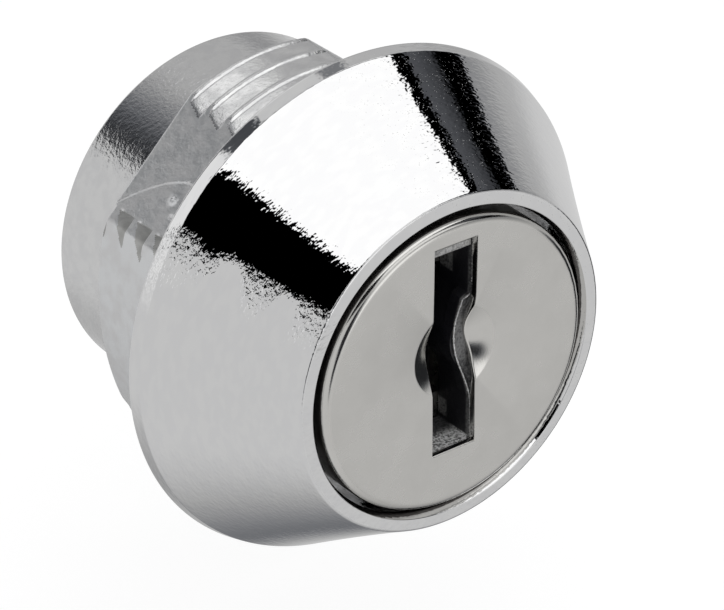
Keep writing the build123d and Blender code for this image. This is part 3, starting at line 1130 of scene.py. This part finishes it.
@dataclass
class Tumblers:
    """Seven plate tumblers, each with its spring of round wire."""

    shop: Workshop
    finishes: Finishes
    wire: float = 0.1
    coil: float = 0.5
    turns: float = 5.0
    closed_share: float = 0.16
    points_per_turn: int = 28
    points_round: int = 12

    def spring(self, number: int) -> None:
        """Carry a circle of wire along a helix whose end turns lie closer than the others.

        The helix climbs with the share t of its length as t less a sine wave, so its pitch is small
        at both ends, and the wire's circle stands across it.

        Args:
            number: The tumbler that the spring pushes.
        """
        node = f"wafer_spring_{number}"
        low, high = corner_box(node)
        middle = (low + high) / 2
        length = high[2] - low[2] - 2 * self.wire
        share = np.linspace(0, 1, int(self.turns * self.points_per_turn) + 1)
        climb = share - self.closed_share * np.sin(tau * share)
        turn = tau * self.turns * share
        out = np.stack([np.cos(turn), np.sin(turn), np.zeros_like(turn)], axis=1)
        path = self.coil * out
        path[:, 2] = length * (climb - 0.5)
        ahead = unit(np.gradient(path, axis=0))
        across = np.cross(ahead, out)
        around = np.arange(self.points_round) * tau / self.points_round
        around = around[None, :, None]
        circle = np.cos(around) * out[:, None] + np.sin(around) * across[:, None]
        points = middle + path[:, None] + self.wire * circle
        self.shop.skin(node, points[:, ::-1], [self.finishes.spring], ends=Ends.CAPPED)

    def build(self) -> None:
        """Dress the seven plates and make their springs."""
        for number in range(1, 8):
            self.shop.dress(f"wafer_{number}", self.finishes.tumbler)
            self.spring(number)


@dataclass
class RearStack:
    """Retaining ring, stop washer, cam, spring washer and screw on the plug's tail."""

    shop: Workshop
    finishes: Finishes
    rest_angle: float = -45.0
    tail: float = 6.1
    ring_inner: float = 3.92
    ring_outer: float = 5.6
    ring_offset: float = 0.3
    ring_opening: float = 76.0
    stop_tab_half: float = 12.0
    stop_radius: float = 5.9
    hub: float = 7.0
    arm_half: float = 5.25
    junction: float = 3.0
    spring_hole: float = 2.1
    spring_sheet: float = 0.5
    shank: float = 2.0
    head: float = 3.8
    dome: float = 0.8
    head_height: float = 2.0
    socket_half: float = 1.25
    socket_depth: float = 1.2
    edge: float = 0.12

    def plate(self, node: str, outline: np.ndarray, sides: int) -> None:
        """Flat plate between an outline and the tail's square hole, with soft edges.

        Each column's inner point lies on the square in the direction of its outer point. An edge is a
        quarter circle, so its rows are inset by e (1 - cos t) and set back by e (1 - sin t).

        Args:
            node: The node that the plate stands for.
            outline: Outer points of x and z at rest, with the arm along +X.
            sides: Points on each edge's quarter circle.
        """
        low, high = corner_box(node)
        front, rear = low[1], high[1]
        heading = unit(outline)
        half = self.tail / 2
        hole = half * heading / np.abs(heading).max(axis=1, keepdims=True)
        tangent = unit(np.roll(outline, -1, axis=0) - np.roll(outline, 1, axis=0))
        outward = np.stack([tangent[:, 1], -tangent[:, 0]], axis=1)
        t = np.linspace(0, np.pi / 2, sides)
        inset, back = self.edge * (1 - np.sin(t)), self.edge * (1 - np.cos(t))
        rows = []
        for base, way, order in ((hole, heading, -1), (outline, -outward, 1)):
            face = [(base + way * i, front + b) for i, b in zip(inset, back)]
            behind = [(base + way * i, rear - b) for i, b in zip(inset[::-1], back[::-1])]
            rows.append((face + behind)[::order])
        loop = rows[0] + rows[1]
        turn = radians(self.rest_angle)
        spin = np.array([[cos(turn), sin(turn)], [-sin(turn), cos(turn)]])
        points = np.stack([np.insert(place @ spin, 1, station, axis=1) for place, station in loop])
        self.shop.skin(node, points, [self.finishes.plated])

    def cam_outline(self) -> np.ndarray:
        """Outline of the cam with its arm along +X: hub arc, concave junctions, straight sides, round tip.

        Returns:
            Points of x and z, counter-clockwise as seen from the front.
        """
        half, joint = self.arm_half, self.junction
        side = half + joint
        meet = np.sqrt((self.hub + joint) ** 2 - side**2)
        lean = np.arctan2(side, meet)
        reach = self.reach()
        tip = np.linspace(-np.pi / 2, np.pi / 2, 61)
        tip_arc = np.stack([reach - half + half * np.cos(tip), half * np.sin(tip)], axis=1)
        side_x = np.linspace(reach - half, meet, 24)[1:-1]
        upper = np.stack([side_x, np.full_like(side_x, half)], axis=1)
        bend = np.linspace(-np.pi / 2, lean - np.pi, 9)
        joint_arc = np.stack([meet + joint * np.cos(bend), side + joint * np.sin(bend)], axis=1)
        hub = np.linspace(lean, tau - lean, 150)[1:-1]
        hub_arc = self.hub * np.stack([np.cos(hub), np.sin(hub)], axis=1)
        lower = np.concatenate([upper, joint_arc])[::-1] * [1, -1]
        return np.concatenate([tip_arc, upper, joint_arc, hub_arc, lower])

    def reach(self) -> float:
        """Distance from the axis to the cam's tip, from the box that its turned arm fills."""
        _, high = corner_box("cam")
        return (high[0] - self.arm_half) / cos(radians(self.rest_angle)) + self.arm_half

    def stop_outline(self) -> np.ndarray:
        """Outline of the stop washer: a circle with a tab along +X, its reach from the frame's box.

        Returns:
            Points of x and z, counter-clockwise as seen from the front.
        """
        _, high = corner_box("stop_washer")
        reach = high[0] / cos(radians(self.rest_angle + self.stop_tab_half))
        near = self.stop_tab_half * np.array([-1.0, -0.96, 0.96, 1.0])
        angles = np.concatenate([near[:2], np.linspace(-11, 11, 23), near[2:], np.arange(13.0, 348.0, 2.0)])
        radius = np.where(np.abs(fold(angles, 360)) <= self.stop_tab_half, reach, self.stop_radius)
        angles = np.radians(angles)
        return radius[:, None] * np.stack([np.cos(angles), np.sin(angles)], axis=1)

    def ring(self) -> None:
        """Snap ring: a rectangle with soft corners carried round the groove, widest opposite the gap.

        The outer radius follows a circle whose centre is offset away from the gap.
        """
        low, high = corner_box("retaining_ring")
        angles = np.linspace(-90 + self.ring_opening / 2, 270 - self.ring_opening / 2, 121)
        lift = np.radians(angles)
        outer = self.ring_offset * np.sin(lift)
        outer = outer + np.sqrt(self.ring_outer**2 - (self.ring_offset * np.cos(lift)) ** 2)
        section = rounded([(0, low[1], 0.07), (1, low[1], 0.07), (1, high[1], 0.07), (0, high[1], 0.07)])
        radius = self.ring_inner + section[None, :, 0] * (outer - self.ring_inner)[:, None]
        points = turned(radius, section[None, :, 1], (angles + self.rest_angle)[:, None])
        self.shop.skin("retaining_ring", points[:, ::-1], [self.finishes.spring], ends=Ends.CAPPED)

    def spring_washer(self) -> None:
        """Conical washer: a sheet's section with soft edges carried round the axis."""
        low, high = corner_box("disc_spring")
        outer = high[0]
        front, rear, sheet = low[1], high[1], self.spring_sheet
        section = rounded(
            [
                (self.spring_hole, rear - sheet, 0.1),
                (outer, front, 0.1),
                (outer, front + sheet, 0.1),
                (self.spring_hole, rear, 0.1),
            ]
        )
        self.shop.skin("disc_spring", turned_profile(section, 120), [self.finishes.spring])

    def screw(self) -> None:
        """Screw: shank, domed head and a hexagon socket, whose rows run along a hexagon.

        In the socket the radius is the half width over the cosine of the angle from the nearest flat.
        """
        low, high = corner_box("cam_screw")
        tip, top = low[1], high[1]
        seat = top - self.head_height
        floor = top - self.socket_depth
        profile = rounded(
            [
                (self.socket_half * 0.5, floor, 0.02),
                (self.socket_half, floor, 0.05),
                (self.socket_half, top, 0.12),
                (self.head - self.dome, top, 0.5),
                (self.head, top - self.dome, 0.5),
                (self.head, seat, 0.12),
                (self.shank, seat, 0.1),
                (self.shank, tip, 0.3),
                (0.2, tip, 0.05),
            ],
            closed=False,
            steps=6,
        )[::-1]
        angles = np.arange(144) * 2.5
        hexagon = 1 / np.cos(np.radians(fold(angles, 60)))
        in_socket = (profile[:, 0] < self.socket_half + 0.13) & (profile[:, 1] > seat)
        factor = np.where(in_socket[:, None], hexagon[None, :], 1.0)
        points = turned(profile[:, :1] * factor, profile[:, 1:], angles[None, :])
        self.shop.skin("cam_screw", points, [self.finishes.plated], ends=Ends.CAPPED)

    def build(self) -> None:
        """Make the five pieces, from the housing backwards."""
        self.ring()
        self.plate("stop_washer", self.stop_outline(), 5)
        self.plate("cam", self.cam_outline(), 5)
        self.spring_washer()
        self.screw()


@dataclass
class Studio:
    """Camera at the photograph's place, the room that the metal reflects, a lamp and the floor."""

    azimuth: float = -36.98
    elevation: float = 30.55
    distance: float = 176.0
    slide: tuple[float, float] = (0.30, -0.33)
    focal_pixels: float = 3656.8
    floor_height: float = -24.5
    floor_half: float = 900.0
    ceiling: float = 1.25
    ceiling_edge: tuple[float, float] = (0.761, 0.773)
    ceiling_lean: float = 0.0436
    wall: float = 0.66
    side_wall: float = 0.3
    wall_edge: tuple[float, float] = (0.435, 0.455)
    wall_leans: tuple[float, float] = (0.115, 0.04)
    wall_fade: tuple[float, float] = (-0.25, 0.3)
    table_far: float = 0.17
    table_fade: tuple[float, float] = (-0.7, 0.85)
    table_rear: float = 0.6
    table_edge: tuple[float, float] = (-0.75, -0.5)
    to_right: tuple[float, float] = (0.1, 0.45)
    to_rear: tuple[float, float] = (0.42, 0.6)
    to_front: tuple[float, float] = (-0.75, -0.6)
    window_from: tuple[float, float] = (-0.32, -0.2)
    streak_low: tuple[float, float] = (0.49, 0.54)
    streak_high: tuple[float, float] = (0.66, 0.675)
    streak_fade: tuple[float, float] = (0.52, 0.66)
    streak_light: tuple[float, float] = (0.05, 0.1)
    rear_light: tuple[float, float] = (0.03, 0.5)
    rear_fade: tuple[float, float] = (-0.52, 0.15)
    beams: tuple[tuple[float, float, float], ...] = ((-0.46, -0.2, 0.88), (0.28, 0.44, 0.65))
    beam_soft: float = 0.03
    strip_light: tuple[float, float] = (0.9, 0.65)
    strip_fade: tuple[float, float] = (-0.55, -0.3)
    strip_end: tuple[float, float] = (0.4, 0.5)
    strip_drop: float = 0.13
    strip_lean: float = 0.12
    strip_side: tuple[float, float] = (0.02, 0.2)
    strip_foot: tuple[float, float] = (-0.1, 0.2)
    line_edges: tuple[float, float, float] = (0.0, 0.13, 0.02)
    line_from: tuple[float, float] = (0.7, 0.8)
    line_share: float = 0.95
    shades: tuple[tuple[tuple[float, float, float], float], ...] = (
        ((0.25, -0.96, -0.06), 1.15),
        ((-0.36, -0.92, 0.1), 0.02),
        ((-0.2, -0.95, -0.2), 0.02),
        ((0.85, -0.12, -0.51), 0.02),
        ((0.77, 0.02, -0.64), 0.02),
        ((0.89, -0.29, -0.34), 0.02),
    )
    shade_within: tuple[float, float] = (0.945, 0.985)
    lamp_place: tuple[float, float, float] = (-120.0, -180.0, 320.0)
    lamp_size: float = 0.3
    lamp_power: float = 0.12

    def camera(self) -> None:
        """Set the camera on the line through the origin at its azimuth and elevation."""
        az, el = radians(self.azimuth), radians(self.elevation)
        back = Vector((sin(az) * cos(el), -cos(az) * cos(el), sin(el)))
        right = Vector((cos(az), sin(az), 0))
        up = back.cross(right)
        place = (back * self.distance + right * self.slide[0] + up * self.slide[1]) * MM
        data = bpy.data.cameras.new("camera")
        data.sensor_width = SENSOR
        data.lens = self.focal_pixels * SENSOR / PHOTO_SIZE[0]
        data.clip_start = 0.005
        made = bpy.data.objects.new("camera", data)
        turn = Matrix((right, up, back)).transposed().to_4x4()
        made.matrix_world = Matrix.Translation(place) @ turn
        bpy.context.scene.collection.objects.link(made)
        bpy.context.scene.camera = made

    def gap_light(self, graph: Graph, x: Wire, y: Wire, z: Wire, right: Wire, rear: Wire) -> Wire:
        """Light of the gap between the ceiling and the walls.

        It is black on the left, a dim streak crosses it on the right, a window fills it in front, and
        at the rear it goes from dark to grey with x.

        Args:
            graph: The world's graph.
            x, y, z: The unit direction.
            right: Share of the right side.
            rear: Share of the rear.

        Returns:
            The light.
        """
        front = graph.ramp(y, *self.to_front, 1.0, 0.0) * graph.ramp(x, *self.window_from)
        streak = graph.ramp(z, *self.streak_low) * graph.ramp(z, *self.streak_high, 1.0, 0.0)
        gap = right * streak * graph.ramp(z, *self.streak_fade, *self.streak_light)
        gap = graph.between(front, gap, 1.0)
        return graph.between(rear, gap, graph.ramp(x, *self.rear_fade, *self.rear_light))

    def wall_light(self, graph: Graph, x: Wire, y: Wire, z: Wire, right: Wire, rear: Wire) -> Wire:
        """Light of the walls, darker high on the right, and of the table, darker far off.

        Args:
            graph: The world's graph.
            x, y, z: The unit direction.
            right: Share of the right side.
            rear: Share of the rear.

        Returns:
            The light.
        """
        fading = graph.ramp(z, *self.wall_fade, self.wall, self.side_wall)
        wall = fading * right + (1 - right) * self.wall
        far = graph.ramp(x + y, *self.table_fade) * (1 - rear * self.table_rear)
        table = self.wall - far * (self.wall - self.table_far)
        return graph.between(graph.ramp(z, *self.table_edge), table, wall)

    def room(self) -> None:
        """Light every direction of the world: a white ceiling, a dark gap below it and grey walls.

        The ceiling ends at a height z of the unit direction, the gap at another, and below the gap
        the walls go over into the table. Behind the lock two beams darken a bright strip, a dark line
        crosses the ceiling, and each shade or light is a spot about its own direction. The camera
        itself sees plain white.
        """
        world = bpy.data.worlds.new("studio")
        bpy.context.scene.world = world
        world.use_nodes = True
        graph = Graph(world.node_tree)
        heading = graph.node("ShaderNodeTexCoord", {}, {}, "Generated")
        x, y, z = graph.split(heading)
        right, rear = graph.ramp(x, *self.to_right), graph.ramp(y, *self.to_rear)
        gap = self.gap_light(graph, x, y, z, right, rear)
        walls = self.wall_light(graph, x, y, z, right, rear)
        lean_right, lean_rear = self.wall_leans
        above_walls = graph.ramp(z + right * lean_right + rear * lean_rear, *self.wall_edge)
        light = graph.between(above_walls, walls, gap)
        above_gap = graph.ramp(z + x * self.ceiling_lean, *self.ceiling_edge)
        light = graph.between(above_gap, light, self.ceiling)
        strip = graph.ramp(x, *self.strip_fade, *self.strip_light)
        for low, high, share in self.beams:
            strip = strip * (1 - graph.band(x, low, high, self.beam_soft) * share)
        strip = strip - graph.ramp(x, *self.strip_end) * self.strip_drop
        behind = graph.ramp(y - right * self.strip_lean, *self.strip_side) * (1 - rear)
        behind = behind * graph.ramp(z, *self.strip_foot)
        light = graph.between(behind, light, strip)
        line = graph.band(y, *self.line_edges) * graph.ramp(z, *self.line_from) * self.line_share
        light = light * (1 - line)
        for toward, share in self.shades:
            product = {"operation": "DOT_PRODUCT"}
            near = graph.node("ShaderNodeVectorMath", product, {0: heading, 1: toward}, 1)
            light = graph.between(graph.ramp(near, *self.shade_within), light, share)
        tint = graph.blend(graph.ramp(light, 0.0, 0.45), (0.86, 0.9, 1.0), (1.0, 1.0, 1.0))
        room = graph.node("ShaderNodeBackground", {}, {"Color": tint, "Strength": light})
        plain = graph.node("ShaderNodeBackground", {}, {"Color": (1, 1, 1, 1), "Strength": 1.0})
        seen = graph.node("ShaderNodeLightPath", {}, {}, "Is Camera Ray")
        mixed = graph.node("ShaderNodeMixShader", {}, {0: seen, 1: room, 2: plain})
        graph.node("ShaderNodeOutputWorld", {}, {"Surface": mixed})

    def lamp(self) -> None:
        """One large soft lamp above the front left, which shades the floor."""
        data = bpy.data.lights.new("softbox", "AREA")
        data.shape = "DISK"
        data.size = self.lamp_size
        data.energy = self.lamp_power
        made = bpy.data.objects.new("softbox", data)
        place = Vector(self.lamp_place) * MM
        made.matrix_world = Matrix.Translation(place) @ place.to_track_quat("Z", "Y").to_matrix().to_4x4()
        made.visible_glossy = False
        bpy.context.scene.collection.objects.link(made)

    def floor(self) -> None:
        """Plain white floor that keeps a faint shadow and is open when seen from below."""
        half, height = self.floor_half, self.floor_height
        sides = ((-half, -half), (half, -half), (half, half), (-half, half))
        mesh = bpy.data.meshes.new("floor")
        mesh.from_pydata([Vector((*side, height)) * MM for side in sides], [], [(0, 1, 2, 3)])
        material = bpy.data.materials.new("floor_white")
        material.use_nodes = True
        graph = Graph(material.node_tree)
        glow = graph.node("ShaderNodeEmission", {}, {"Color": (1, 1, 1, 1), "Strength": 0.86})
        matt = graph.node("ShaderNodeBsdfDiffuse", {}, {"Color": (0.25, 0.25, 0.25, 1)})
        top = graph.node("ShaderNodeAddShader", {}, {0: glow, 1: matt})
        below = graph.node("ShaderNodeNewGeometry", {}, {}, "Backfacing")
        clear = graph.node("ShaderNodeBsdfTransparent", {}, {})
        mixed = graph.node("ShaderNodeMixShader", {}, {0: below, 1: top, 2: clear})
        graph.node("ShaderNodeOutputMaterial", {}, {"Surface": mixed})
        mesh.materials.append(material)
        made = bpy.data.objects.new("floor", mesh)
        bpy.context.scene.collection.objects.link(made)
        made.visible_glossy = False
        made.visible_diffuse = False
        made.visible_shadow = False

    def build(self) -> None:
        """Set up the camera, the room, the lamp and the floor."""
        self.camera()
        self.room()
        self.lamp()
        self.floor()
        bpy.context.scene.view_settings.view_transform = "Standard"


def plain(box: tuple) -> list[list[float]]:
    """A box's two corners as lists of numbers."""
    return [[float(value) for value in corner] for corner in box]


def main() -> None:
    """Build the studio and every sub-assembly."""
    logging.basicConfig(level=logging.INFO, format="%(message)s", stream=sys.stdout)
    finishes = Finishes()
    shop = Workshop()
    Studio().build()
    for part in (Housing, FaceAndPlug, Tumblers, RearStack):
        part(shop, finishes).build()
        log.info("%s is done", part.__name__)


if __name__ == "__main__":
    main()
